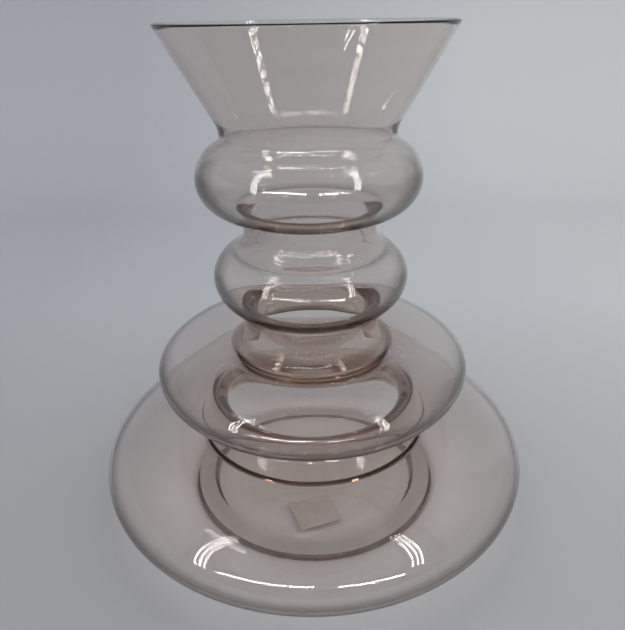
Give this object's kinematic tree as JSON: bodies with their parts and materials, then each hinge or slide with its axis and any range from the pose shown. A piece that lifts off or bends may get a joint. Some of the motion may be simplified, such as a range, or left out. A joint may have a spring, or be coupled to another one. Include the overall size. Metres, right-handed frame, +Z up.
{
  "type": "glass vase",
  "caption": "Tiered blown-glass vase: funnel mouth over stacked bulges and wide hollow saucers on a ring foot, with a blank paper label under the pushed-up base.",
  "frame": {"origin": "on the vase's axis, on the plane of the foot ring that stands on the table", "axes": "+Z up along the axis towards the mouth; the label lies on the -Y side of the axis"},
  "size_m": [0.24, 0.24, 0.254],
  "materials": {
    "smoky_glass": "clear smoky rose-taupe glass, polished",
    "label_paper": "matt uncoated paper"
  },
  "bodies": {
    "root": {"glass_vessel": "smoky_glass", "base_label": "label_paper"}
  },
  "joints": []
}
